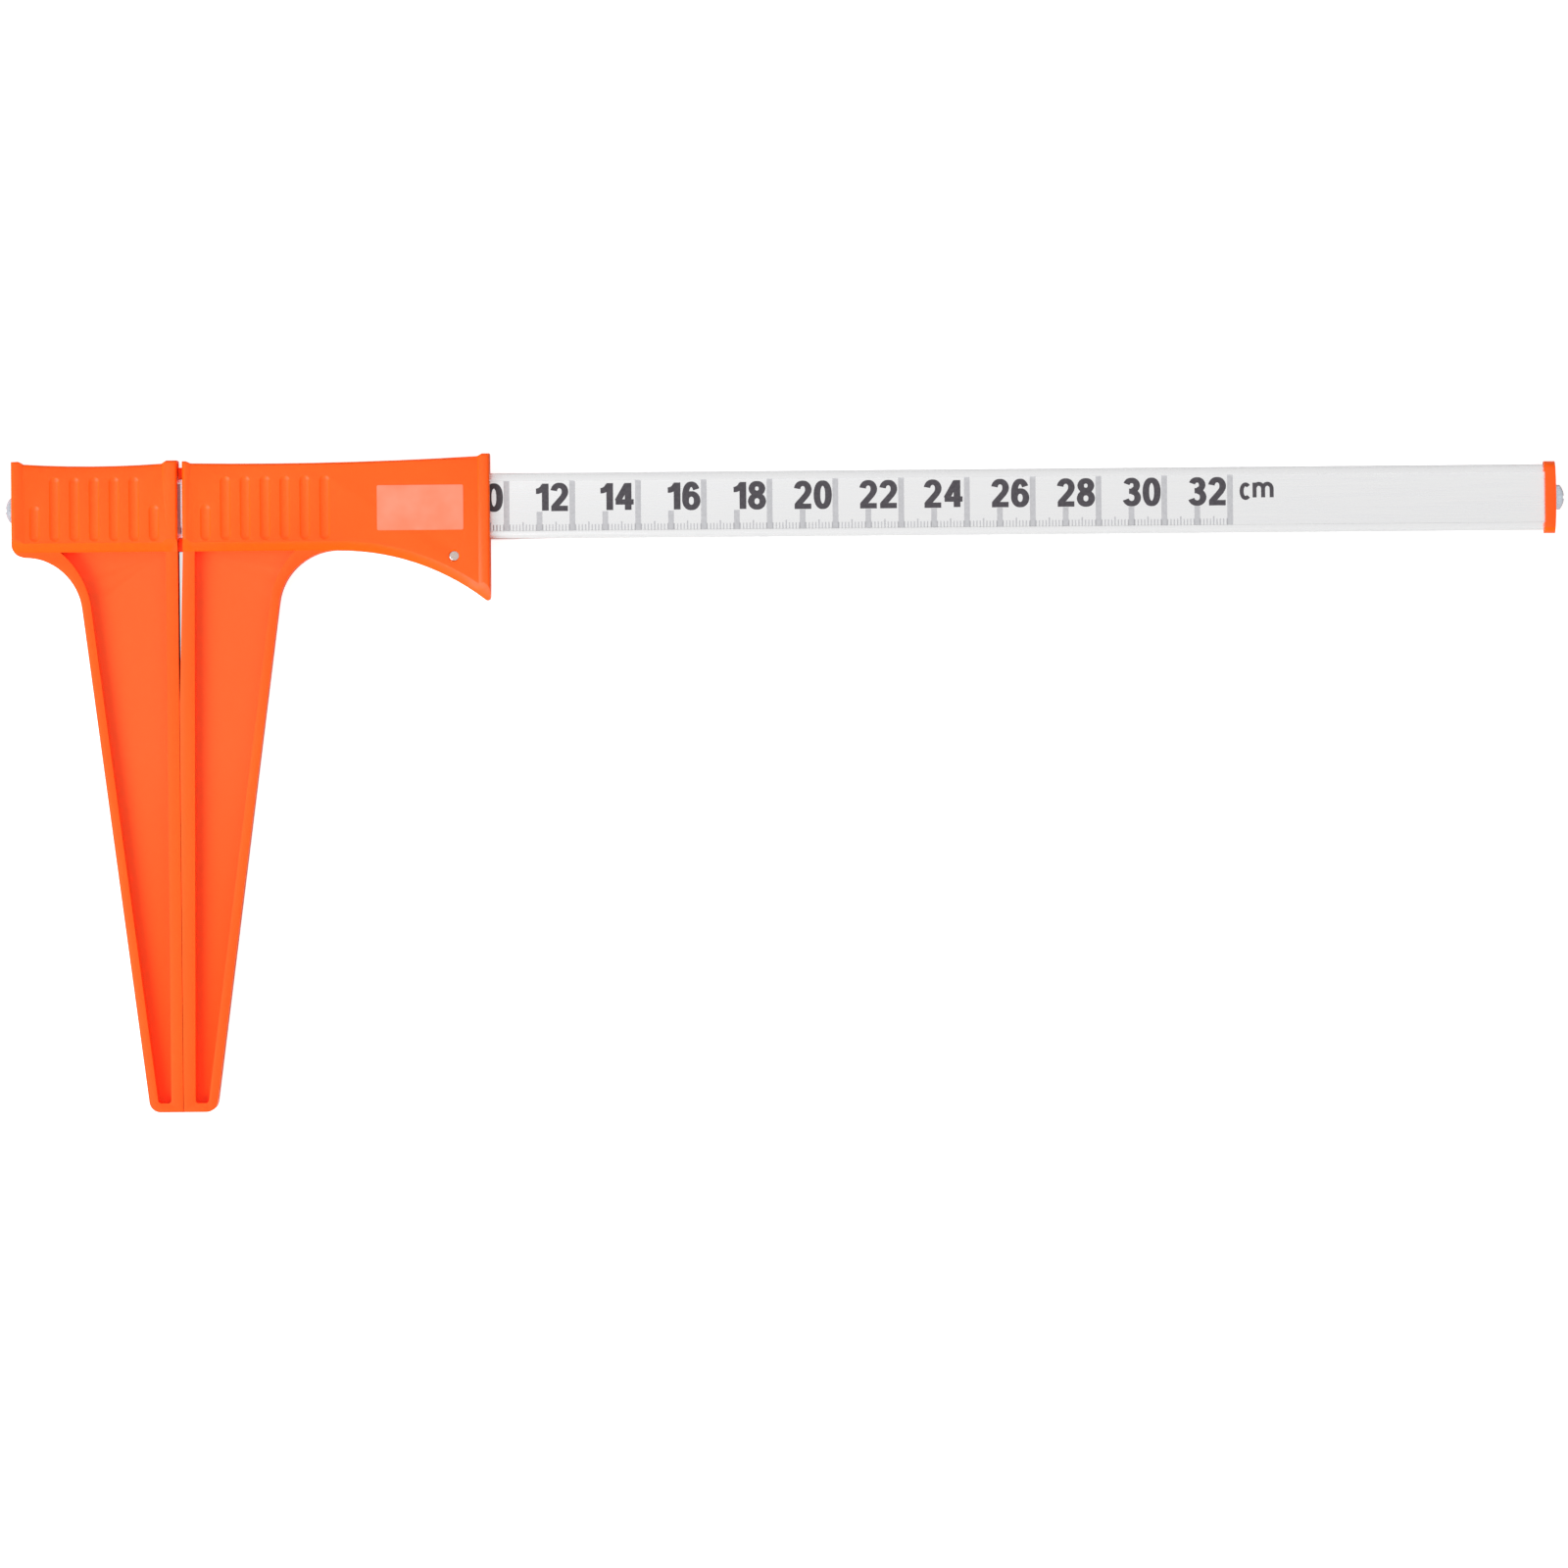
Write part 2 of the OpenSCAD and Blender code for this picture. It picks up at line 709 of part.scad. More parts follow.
module bearing_outer_ring() {
    color("silver")
        at_bearing()
            difference() {
                ring(pitch_r + shoulder, bearing_d / 2, bearing_w);
                ball_groove();
                both_faces()
                    translate([0, 0, bearing_w / 2 - shield_seat])
                        cylinder(r = pitch_r + shoulder + shield_seat, h = cut);
            }
}

// Thin washer that closes the bearing: fixed in the outer ring, clear of the inner one
module shield() {
    translate([0, 0, bearing_w / 2 - shield_seat + shield_t / 2 + pin_clear])
        ring(pitch_r - shoulder + shield_seat / 2, pitch_r + shoulder + shield_seat - pin_clear, shield_t);
}

module bearing_front_shield() {
    color("gray") at_bearing() shield();
}

module bearing_rear_shield() {
    color("gray") at_bearing() mirror([0, 0, 1]) shield();
}

module at_balls() {
    for (i = [0:ball_count - 1])
        rotate([0, 0, i * 360 / ball_count]) translate([pitch_r, 0, 0]) children();
}

// Half of the ribbon cage: a flat ring that bulges over every ball
module cage_half() {
    cup_r = ball_d / 2 + bearing_clear;
    difference() {
        intersection() {
            ring(pitch_r - cage_half_w, pitch_r + cage_half_w, 2 * ball_d);
            translate([-pitch_r - ball_d, -pitch_r - ball_d, pin_clear])
                cube([2 * (pitch_r + ball_d), 2 * (pitch_r + ball_d), ball_d]);
            union() {
                cylinder(r = pitch_r + ball_d, h = cage_wall + pin_clear);
                at_balls() sphere(r = cup_r + cage_wall);
            }
        }
        at_balls() sphere(r = cup_r);
    }
}

module bearing_front_cage() {
    color("darkgray") at_bearing() cage_half();
}

module bearing_rear_cage() {
    color("darkgray") at_bearing() mirror([0, 0, 1]) cage_half();
}

module bearing_ball(i) {
    color("silver")
        at_bearing()
            rotate([0, 0, (i - 1) * 360 / ball_count])
                translate([pitch_r, 0, 0]) sphere(d = ball_d);
}

beam();
fixed_jaw();
fixed_jaw_screw();
end_cap();
end_cap_screw();
sliding_jaw();
roller_pin();
bearing_inner_ring();
bearing_outer_ring();
bearing_front_shield();
bearing_rear_shield();
bearing_front_cage();
bearing_rear_cage();
for (i = [1:ball_count])
    bearing_ball(i);
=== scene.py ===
# Pocket log caliper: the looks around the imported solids, in metres, in the frame of the solids.
import math

import bmesh
import bpy
import numpy as np
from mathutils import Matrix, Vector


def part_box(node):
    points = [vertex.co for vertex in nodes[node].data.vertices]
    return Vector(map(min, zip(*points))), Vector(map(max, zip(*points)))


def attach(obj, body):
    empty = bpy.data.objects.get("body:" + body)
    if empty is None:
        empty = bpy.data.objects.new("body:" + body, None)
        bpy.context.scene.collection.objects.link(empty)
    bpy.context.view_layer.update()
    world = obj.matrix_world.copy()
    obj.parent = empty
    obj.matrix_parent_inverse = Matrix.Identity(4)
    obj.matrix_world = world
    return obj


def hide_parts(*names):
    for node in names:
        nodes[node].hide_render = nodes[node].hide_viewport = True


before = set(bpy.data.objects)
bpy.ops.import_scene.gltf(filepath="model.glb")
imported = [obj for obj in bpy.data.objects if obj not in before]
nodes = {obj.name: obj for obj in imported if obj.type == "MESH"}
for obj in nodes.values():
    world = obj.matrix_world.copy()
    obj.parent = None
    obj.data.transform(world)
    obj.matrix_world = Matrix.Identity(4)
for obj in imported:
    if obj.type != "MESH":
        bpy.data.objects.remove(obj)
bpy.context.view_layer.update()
mm = 0.001
print("stage: solids loaded,", len(nodes), "nodes")

# Places that the pieces below are measured from
beamLow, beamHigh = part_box("beam")
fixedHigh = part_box("fixed_jaw")[1]
tipLean = 0.25 * mm  # how far the fixed jaw's tip leans past its measuring face at the head
scaleZero = fixedHigh.x - tipLean
beamAxisY = (beamLow.y + beamHigh.y) / 2
middleZ = (beamLow.z + beamHigh.z) / 2


# sRGB hex to linear: below 0.04045 divided by 12.92, above it ((c + 0.055) / 1.055) ** 2.4
def toLinear(hexColour):
    srgb = [int(hexColour[i : i + 2], 16) / 255 for i in (1, 3, 5)]
    return [c / 12.92 if c <= 0.04045 else ((c + 0.055) / 1.055) ** 2.4 for c in srgb] + [1.0]


# One node with its settings (attributes or input values) and its links (input name: output socket). A Mix
# node's inputs share their names, so they go by number: 2 and 3 are its numbers, 6 and 7 its colours
def addNode(tree, kind, settings=None, links=None):
    node = tree.nodes.new(kind)
    for name, value in (settings or {}).items():
        if isinstance(name, str) and hasattr(node, name):
            setattr(node, name, value)
        else:
            node.inputs[name].default_value = value
    for name, socket in (links or {}).items():
        tree.links.new(socket, node.inputs[name])
    return node


def newMaterial(name):
    material = bpy.data.materials.new(name)
    material.use_nodes = True
    material.node_tree.nodes.clear()
    return material, material.node_tree


# Noise whose spots are about spotMm across, on Object coordinates; stretch slows it along an axis
def spots(tree, spotMm, detail=2.0, stretch=(1, 1, 1)):
    place = addNode(tree, "ShaderNodeTexCoord")
    scaled = addNode(
        tree,
        "ShaderNodeMapping",
        {"Scale": [s / (spotMm * mm) for s in stretch]},
        {"Vector": place.outputs["Object"]},
    )
    noise = addNode(
        tree, "ShaderNodeTexNoise", {"Scale": 1.0, "Detail": detail}, {"Vector": scaled.outputs[0]}
    )
    return noise.outputs[0]


# Two colours that change over as a value goes through its reach: the first before it, the second after it
def blended(tree, value, reach, firstColour, secondColour):
    share = addNode(
        tree, "ShaderNodeMapRange", {"From Min": reach[0], "From Max": reach[1]}, {"Value": value}
    )
    mix = addNode(
        tree,
        "ShaderNodeMix",
        {"data_type": "RGBA", 6: toLinear(firstColour), 7: toLinear(secondColour)},
        {0: share.outputs[0]},
    )
    return mix.outputs[2]


# ABS, injection moulded in a spark-eroded mould: an even satin with a fine grain, slightly uneven where
# the melt flowed. The thin webs of the pocket floors are painted paler and pinker, a painted sheen, and
# towards the blade tips deeper and redder, a painted shade where the pockets grow narrow. The signal pigment
# fluoresces: it gives back more red than falls on it, so that its shadows stay red. The drafted slopes are
# painted deeper and yellower than the grained flats: painted light, for the sheen that they catch less of
plastic = {
    "colour": "#FF5F18",
    "flowColour": "#FF661B",
    # Painted light: the drafted slopes are painted deeper and yellower than the flats, for the sheen that
    # they catch less of
    "slopePaintedLightColour": "#FF6300",
    # Painted sheen: the thin webs of the pocket floors are painted paler and pinker than the rest
    "webPaintedSheenColour": "#FF662A",
    # Painted shade: towards the blade tips, where the pockets grow narrow, the webs are painted deeper and
    # redder
    "webTipPaintedShadeColour": "#F0560A",
    "webMm": (1.9, 3.2),  # from the middle plane: all web, and no web
    # The reach of the painted shade along the blades
    "webTipMm": (-75, -170),  # from the beam's axis: where the web begins to deepen, and where it is deepest
    "slopeReach": (0.885, 0.92),  # upright share of the normal: all slope, and flat
    "wallReach": (0.4, 0.6),  # upright share of the normal: wall, and all slope
    "fluorescence": (1.25, 1.0, 1.0),
    "noiseReach": (0.3, 0.7),  # nearly all of a noise's values lie between these
    "flowMm": 60,
    "grainMm": 0.5,  # coarser than the real grain of about 0.1 mm, so that it shows
    "grainDepthMm": 0.012,
    "roughness": (0.34, 0.42),
    "ior": 1.53,
    "gloss": 0.18,
    "glowMm": (3.0, 0.5, 0.2),  # how far red, green and blue light travel inside
    "glowShare": 0.1,
}


# 1 on the drafted slopes, 0 on the flats and on the walls, by the upright share of the normal: where the
# slopes' painted light goes
def slopeShare(tree):
    place = addNode(tree, "ShaderNodeTexCoord")
    normal = addNode(tree, "ShaderNodeSeparateXYZ", links={0: place.outputs["Normal"]})
    upright = addNode(tree, "ShaderNodeMath", {"operation": "ABSOLUTE"}, {0: normal.outputs["Z"]})
    slopeTop, flat = plastic["slopeReach"]
    notFlat = addNode(
        tree,
        "ShaderNodeMapRange",
        {"From Min": slopeTop, "From Max": flat, "To Min": 1.0, "To Max": 0.0},
        {"Value": upright.outputs[0]},
    )
    wall, slopeFoot = plastic["wallReach"]
    notWall = addNode(
        tree,
        "ShaderNodeMapRange",
        {"From Min": wall, "From Max": slopeFoot},
        {"Value": upright.outputs[0]},
    )
    share = addNode(
        tree,
        "ShaderNodeMath",
        {"operation": "MULTIPLY"},
        {0: notFlat.outputs[0], 1: notWall.outputs[0]},
    )
    return share.outputs[0]


# 1 on the thin webs, which lie near the caliper's middle plane, and 0 on the faces farther from it: where
# the painted sheen and shade of the webs go
def webShare(tree):
    place = addNode(tree, "ShaderNodeTexCoord")
    parts = addNode(tree, "ShaderNodeSeparateXYZ", links={0: place.outputs["Object"]})
    above = addNode(tree, "ShaderNodeMath", {"operation": "SUBTRACT", 1: middleZ}, {0: parts.outputs["Z"]})
    away = addNode(tree, "ShaderNodeMath", {"operation": "ABSOLUTE"}, {0: above.outputs[0]})
    allWeb, noWeb = [distance * mm for distance in plastic["webMm"]]
    share = addNode(
        tree,
        "ShaderNodeMapRange",
        {"From Min": allWeb, "From Max": noWeb, "To Min": 1.0, "To Max": 0.0},
        {"Value": away.outputs[0]},
    )
    return share.outputs[0]


def mouldedAbs():
    material, tree = newMaterial("moulded_abs_orange")
    noiseLow, noiseHigh = plastic["noiseReach"]
    flow = spots(tree, plastic["flowMm"], detail=1.0)
    flats = blended(tree, flow, (noiseLow, noiseHigh), plastic["colour"], plastic["flowColour"])
    # The drafted slopes take their painted light colour, by the facing of the normal
    body = addNode(
        tree,
        "ShaderNodeMix",
        {"data_type": "RGBA", 7: toLinear(plastic["slopePaintedLightColour"])},
        {0: slopeShare(tree), 6: flats},
    )
    place = addNode(tree, "ShaderNodeTexCoord")
    parts = addNode(tree, "ShaderNodeSeparateXYZ", links={0: place.outputs["Object"]})
    # The webs take a painted sheen, paler and pinker, which turns into a painted shade, deeper and redder,
    # towards the blade tips
    tipReach = [beamAxisY + y * mm for y in plastic["webTipMm"]]
    web = blended(tree, parts.outputs["Y"], tipReach, plastic["webPaintedSheenColour"], plastic["webTipPaintedShadeColour"])
    colour = addNode(
        tree, "ShaderNodeMix", {"data_type": "RGBA"}, {0: webShare(tree), 6: body.outputs[2], 7: web}
    )
    signal = addNode(
        tree,
        "ShaderNodeVectorMath",
        {"operation": "MULTIPLY", 1: plastic["fluorescence"]},
        {0: colour.outputs[2]},
    )
    grain = spots(tree, plastic["grainMm"])
    smoothest, roughest = plastic["roughness"]
    rough = addNode(
        tree,
        "ShaderNodeMapRange",
        {"From Min": noiseLow, "From Max": noiseHigh, "To Min": smoothest, "To Max": roughest},
        {"Value": grain},
    )
    bump = addNode(
        tree,
        "ShaderNodeBump",
        {"Strength": 1.0, "Distance": plastic["grainDepthMm"] * mm},
        {"Height": grain},
    )
    shader = addNode(
        tree,
        "ShaderNodeBsdfPrincipled",
        {
            "IOR": plastic["ior"],
            "Specular IOR Level": plastic["gloss"],
            "Subsurface Weight": plastic["glowShare"],
            "Subsurface Radius": plastic["glowMm"],
            "Subsurface Scale": mm,
        },
        {
            "Base Color": signal.outputs[0],
            "Roughness": rough.outputs[0],
            "Normal": bump.outputs[0],
        },
    )
    addNode(tree, "ShaderNodeOutputMaterial", links={"Surface": shader.outputs[0]})
    return material


# The metals and the coats draw the middle of a noise's values out to their two colours
noiseMiddle = (0.35, 0.65)


# A metal with streaks along one axis (the way it was drawn or ground) or with none
def metal(name, finish):
    material, tree = newMaterial(name)
    streaks = spots(tree, finish["streakMm"], detail=3.0, stretch=finish["stretch"])
    smoothest, roughest = finish["roughness"]
    rough = addNode(
        tree,
        "ShaderNodeMapRange",
        {"From Min": noiseMiddle[0], "From Max": noiseMiddle[1], "To Min": smoothest, "To Max": roughest},
        {"Value": streaks},
    )
    bump = addNode(
        tree, "ShaderNodeBump", {"Strength": 1.0, "Distance": finish["depthMm"] * mm}, {"Height": streaks}
    )
    shader = addNode(
        tree,
        "ShaderNodeBsdfPrincipled",
        {"Metallic": finish["metallic"]},
        {
            "Base Color": blended(tree, streaks, noiseMiddle, finish["colour"], finish["streakColour"]),
            "Roughness": rough.outputs[0],
            "Normal": bump.outputs[0],
        },
    )
    addNode(tree, "ShaderNodeOutputMaterial", links={"Surface": shader.outputs[0]})
    return material


# Aluminium, extruded and anodised in its natural colour: a pale, even satin with faint lines along it. The
# oxide scatters a quarter of the light, so that the steps at its edges stay soft
anodised = {
    "colour": "#E9E9E9",
    "streakColour": "#E6E6E7",
    "metallic": 0.75,
    "roughness": (0.22, 0.28),
    "streakMm": 0.4,
    "stretch": (0.02, 1, 1),  # the streaks run along the beam
    "depthMm": 0.0006,
}


def anodisedAluminium():
    return metal("anodised_aluminium", anodised)


# Steel, bright zinc plated: bluish, with a soft sparkle
zinc = {
    "colour": "#B8C2CB",
    "streakColour": "#C6CFD8",
    "metallic": 1.0,
    "roughness": (0.22, 0.32),
    "streakMm": 0.6,
    "stretch": (1, 1, 1),
    "depthMm": 0.004,
}


def zincPlatedSteel():
    return metal("zinc_plated_steel", zinc)


# Bearing steel, ground: a warm grey shine
ground = {
    "colour": "#C4B4AC",
    "streakColour": "#CDBFB8",
    "metallic": 1.0,
    "roughness": (0.20, 0.28),
    "streakMm": 0.3,
    "stretch": (1, 1, 0.1),  # the streaks run along the pin
    "depthMm": 0.001,
}


def groundSteel():
    return metal("ground_bearing_steel", ground)


# Steel sheet, pressed: duller than the rings
pressed = {
    "colour": "#A2A5AA",
    "streakColour": "#B0B3B7",
    "metallic": 1.0,
    "roughness": (0.3, 0.4),
    "streakMm": 0.5,
    "stretch": (1, 1, 1),
    "depthMm": 0.002,
}


def pressedSteel():
    return metal("pressed_steel_sheet", pressed)


# A thin coat, slightly uneven: two close colours in spots, with one roughness
def thinCoat(name, coat, firstColour, secondColour):
    material, tree = newMaterial(name)
    uneven = spots(tree, coat["spotMm"])
    shader = addNode(
        tree,
        "ShaderNodeBsdfPrincipled",
        {"Roughness": coat["roughness"], "IOR": coat["ior"]},
        {"Base Color": blended(tree, uneven, noiseMiddle, firstColour, secondColour)},
    )
    addNode(tree, "ShaderNodeOutputMaterial", links={"Surface": shader.outputs[0]})
    return material


# Screen-printed ink: matt, with a slightly uneven coat
ink = {
    "charcoal": ("#38343A", "#454147"),
    "grey": ("#BABABD", "#C2C2C5"),
    "roughness": 0.6,
    "ior": 1.5,
    "spotMm": 0.8,
}


def printedInk(shade):
    return thinCoat("printing_ink_" + shade, ink, *ink[shade])


# Vinyl film, translucent: the orange shows through it as a pale salmon
film = {
    "colour": "#FF8662",
    "hazeColour": "#FE9475",
    "roughness": 0.35,
    "ior": 1.5,
    "spotMm": 9,
}


def labelFilm():
    return thinCoat("vinyl_label_film", film, film["colour"], film["hazeColour"])


materials = {
    "orange": mouldedAbs(),
    "aluminium": anodisedAluminium(),
    "zinc": zincPlatedSteel(),
    "ground": groundSteel(),
    "pressed": pressedSteel(),
    "charcoal": printedInk("charcoal"),
    "grey": printedInk("grey"),
    "film": labelFilm(),
}
print("stage: materials")

nodeFinish = {
    "beam": "aluminium",
    "fixed_jaw": "orange",
    "sliding_jaw": "orange",
    "end_cap": "orange",
    "fixed_jaw_screw": "zinc",
    "end_cap_screw": "zinc",
    "roller_pin": "ground",
    "bearing_inner_ring": "ground",
    "bearing_outer_ring": "ground",
    "bearing_front_shield": "pressed",
    "bearing_rear_shield": "pressed",
    "bearing_front_cage": "pressed",
    "bearing_rear_cage": "pressed",
}
for name, solid in nodes.items():
    finish = nodeFinish.get(name, "ground")  # the rest are the bearing's balls
    solid.data.materials.clear()
    solid.data.materials.append(materials[finish])
print("stage: solids dressed")


# The small radii that a mould, an extrusion die or a lathe leaves on the edges of the pieces
rounding = {
    "mergeMm": 0.002,
    "flatDegrees": 0.5,  # faces that meet at less are joined
    "edgeDegrees": 25,  # edges that turn by more are rounded
    "steps": 3,
    # How each piece was made, its body, its slot and its radius in mm
    "pieces": {
        "fixed_jaw": ("moulded", "beam_body", "orange_plastic", 0.4),
        "sliding_jaw": ("moulded", "slider", "orange_plastic", 0.4),
        "end_cap": ("moulded", "beam_body", "orange_plastic", 0.4),
        "beam": ("extruded", "beam_body", "anodised_aluminium", 0.15),
        "roller_pin": ("turned", "slider", "ground_steel", 0.5),
    },
}


# A copy of a solid, with its doubles merged, its flat faces joined and its sharp edges rounded to radiusMm
def roundedCopy(name, process, body, slot, radiusMm):
    mesh = nodes[name].data.copy()
    work = bmesh.new()
    work.from_mesh(mesh)
    bmesh.ops.remove_doubles(work, verts=work.verts, dist=rounding["mergeMm"] * mm)
    flatAngle = math.radians(rounding["flatDegrees"])
    bmesh.ops.dissolve_limit(work, angle_limit=flatAngle, verts=work.verts, edges=work.edges)
    for face in work.faces:
        face.smooth = True
    work.to_mesh(mesh)
    work.free()
    piece = bpy.data.objects.new(name + "_" + process, mesh)
    bpy.context.scene.collection.objects.link(piece)
    edges = piece.modifiers.new("edge_radius", "BEVEL")
    edges.width = radiusMm * mm
    edges.segments = rounding["steps"]
    edges.limit_method = "ANGLE"
    edges.angle_limit = math.radians(rounding["edgeDegrees"])
    edges.harden_normals = True
    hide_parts(name)
    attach(piece, body)


for name, making in rounding["pieces"].items():
    roundedCopy(name, *making)
print("stage: edges rounded")


def newPiece(name, vertices, faces, material, body):
    mesh = bpy.data.meshes.new(name)
    mesh.from_pydata(vertices.tolist(), [], faces)
    mesh.update()
    piece = bpy.data.objects.new(name, mesh)
    bpy.context.scene.collection.objects.link(piece)
    mesh.materials.append(material)
    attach(piece, body)


# Closed boxes from arrays of lowest and highest corners: corner k of a box takes x, y or z from the high
# corner where bit 0, 1 or 2 of k is set
def boxes(low, high):
    bits = np.array([[k & 1, k >> 1 & 1, k >> 2 & 1] for k in range(8)])
    vertices = (low[:, None, :] + bits[None, :, :] * (high - low)[:, None, :]).reshape(-1, 3)
    bottomTop = [[0, 2, 3, 1], [4, 5, 7, 6]]
    frontBack = [[0, 1, 5, 4], [2, 6, 7, 3]]
    leftRight = [[0, 4, 6, 2], [1, 3, 7, 5]]
    quads = np.array(bottomTop + frontBack + leftRight)
    faces = (quads[None] + 8 * np.arange(len(low))[:, None, None]).reshape(-1, 4)
    return vertices, faces


# The scale: a long line every 2 cm, a shorter one at the odd centimetres, and small ones at each half
# centimetre and each millimetre. Heights are from the beam's axis
scale = {
    "lengthMm": 320,
    "longStepMm": 20,
    "centimetreStepMm": 10,
    "halfStepMm": 5,
    "footMm": -7.5,
    "longTopMm": 8.0,
    "centimetreTopMm": -1.8,
    "halfTopMm": -4.9,
    "millimetreTopMm": -5.7,
    "lineMm": 1.75,
    "halfLineMm": 0.45,
    "millimetreLineMm": 0.38,
    "faceRecessMm": 0.3,  # how far the printed face lies below the beam's edges
    "inkMm": 0.02,
    "layerMm": 0.002,  # a stroke that crosses another lies this much higher
}
faceZ = beamHigh.z - scale["faceRecessMm"] * mm


def scaleLines():
    places = np.arange(scale["lengthMm"] + 1)
    x = scaleZero + places * mm
    steps = [scale["longStepMm"], scale["centimetreStepMm"], scale["halfStepMm"]]
    kinds = [places % step == 0 for step in steps]
    tops = [scale["longTopMm"], scale["centimetreTopMm"], scale["halfTopMm"]]
    widths = [scale["lineMm"], scale["lineMm"], scale["halfLineMm"]]
    top = beamAxisY + np.select(kinds, tops, scale["millimetreTopMm"]) * mm
    width = np.select(kinds, widths, scale["millimetreLineMm"]) * mm
    foot = np.full(len(x), beamAxisY + scale["footMm"] * mm)
    face = np.full(len(x), faceZ)
    low = np.stack([x - width / 2, foot, face], axis=1)
    high = np.stack([x + width / 2, top, face + scale["inkMm"] * mm], axis=1)
    vertices, faces = boxes(low, high)
    newPiece("scale_lines", vertices, faces.tolist(), materials["grey"], "beam_body")


# Centre line of an arc of a rounded oval: cosine and sine raised to 2 / fullness, times the half sizes
def arc(centreX, centreY, halfX, halfY, fromDegrees, toDegrees, fullness=2.0, steps=25):
    angle = np.radians(np.linspace(fromDegrees, toDegrees, steps))
    cosine, sine = np.cos(angle), np.sin(angle)
    power = 2 / fullness
    x = centreX + halfX * np.sign(cosine) * np.abs(cosine) ** power
    y = centreY + halfY * np.sign(sine) * np.abs(sine) ** power
    return np.column_stack([x, y])


def line(*points):
    return np.array(points, dtype=float)


# One centre line from stretches that follow each other
def path(*stretches):
    return np.vstack(stretches)


# Characters of a bold grotesque, as centre lines of their strokes, one unit high: (width, strokes)
digits = {
    "0": (0.61, [arc(0.305, 0.5, 0.213, 0.43, 0, 360, 2.3, 49)]),
    "1": (0.44, [line((0.345, 0), (0.345, 1)), arc(0.0, 0.99, 0.31, 0.27, -90, -12)]),
    "2": (
        0.62,
        [
            path(
                arc(0.305, 0.70, 0.208, 0.23, 172, -28, 2.1),
                line((0.44, 0.50), (0.30, 0.34), (0.10, 0.12)),
            ),
            line((0, 0.078), (0.62, 0.078)),
        ],
    ),
    "3": (
        0.60,
        [
            arc(0.285, 0.745, 0.19, 0.185, 165, -90, 2.1),
            arc(0.285, 0.29, 0.222, 0.22, 90, -165, 2.1),
            line((0.19, 0.53), (0.33, 0.53)),
        ],
    ),
    "4": (
        0.67,
        [
            line((0.465, 0), (0.465, 1)),
            line((0, 0.298), (0.67, 0.298)),
            line((0.42, 0.93), (0.07, 0.32)),
        ],
    ),
    "6": (
        0.61,
        [
            arc(0.31, 0.322, 0.213, 0.252, 0, 360, 2.1, 49),
            path(arc(0.31, 0.5, 0.215, 0.43, 32, 180, 2.2), line((0.095, 0.32))),
        ],
    ),
    "8": (
        0.61,
        [
            arc(0.305, 0.752, 0.188, 0.178, 0, 360, 2.1, 49),
            arc(0.305, 0.282, 0.213, 0.212, 0, 360, 2.1, 49),
        ],
    ),
}
letters = {
    "c": (0.62, [arc(0.335, 0.47, 0.245, 0.42, 46, 314, 2.1)]),
    "m": (
        1.24,
        [
            line((0.09, 0.08), (0.09, 1)),
            path(arc(0.355, 0.62, 0.265, 0.3, 180, 0), line((0.62, 0.08))),
            path(arc(0.885, 0.62, 0.265, 0.3, 180, 0), line((1.15, 0.08))),
        ],
    ),
}

# A number stands at each long line, to the left of it
number = {
    "shapes": digits,
    "heightMm": 8.2,
    "baseMm": -1.5,
    "gapMm": 1.0,
    "lineGapMm": 0.45,
    "halfUpright": 0.125,  # half width of an upright stroke, for a height of 1
    "halfLevel": 0.1,
}
unit = {
    "shapes": letters,
    "heightMm": 4.9,
    "baseMm": 0.25,
    "gapMm": 0.9,
    "leftMm": 323.1,
    "halfUpright": 0.125,
    "halfLevel": 0.125,
}


# A flat ribbon of ink along a centre line, from the beam's face up to topZ. At each point it reaches to both
# sides by a half width between halfUpright and halfLevel, as the stroke runs there
def ribbon(centre, halfUpright, halfLevel, topZ):
    along = np.gradient(centre, axis=0)
    closed = bool(np.allclose(centre[0], centre[-1]))
    if closed:
        along[[0, -1]] = centre[1] - centre[-2]
    along /= np.linalg.norm(along, axis=1)[:, None]
    across = np.column_stack([-along[:, 1], along[:, 0]])
    share = np.abs(across)
    half = (halfUpright * share[:, :1] + halfLevel * share[:, 1:]) / share.sum(axis=1, keepdims=True)
    left = centre + across * half
    right = centre - across * half
    count = len(centre)
    corners = [(left, faceZ), (right, faceZ), (right, topZ), (left, topZ)]
    edges = [np.column_stack([edge, np.full(count, z)]) for edge, z in corners]
    vertices = np.stack(edges, axis=1).reshape(-1, 3)
    start = 4 * np.arange(count - 1)[:, None]
    side = np.arange(4)
    after = (side + 1) % 4
    quads = np.stack([start + side, start + after, start + 4 + after, start + 4 + side], axis=2)
    quads = quads.reshape(-1, 4)
    if closed:
        vertices = vertices[:-4]
        return vertices, quads % len(vertices)
    ends = np.array([side[::-1], 4 * (count - 1) + side])
    return vertices, np.vstack([quads, ends])


# The characters' widths and the gaps between them
def rowWidthMm(row, text):
    widths = [row["shapes"][character][0] * row["heightMm"] for character in text]
    return sum(widths) + row["gapMm"] * (len(text) - 1)


# The ribbons of a row of characters that starts at x
def printedRow(row, text, x):
    ribbons = []
    height = row["heightMm"]
    halfUpright = row["halfUpright"] * height * mm
    halfLevel = row["halfLevel"] * height * mm
    for character in text:
        width, strokes = row["shapes"][character]
        corner = np.array([x, beamAxisY + row["baseMm"] * mm])
        for layer, stroke in enumerate(strokes):
            topZ = faceZ + (scale["inkMm"] + layer * scale["layerMm"]) * mm
            ribbons.append(ribbon(stroke * height * mm + corner, halfUpright, halfLevel, topZ))
        x += (width * height + row["gapMm"]) * mm
    return ribbons


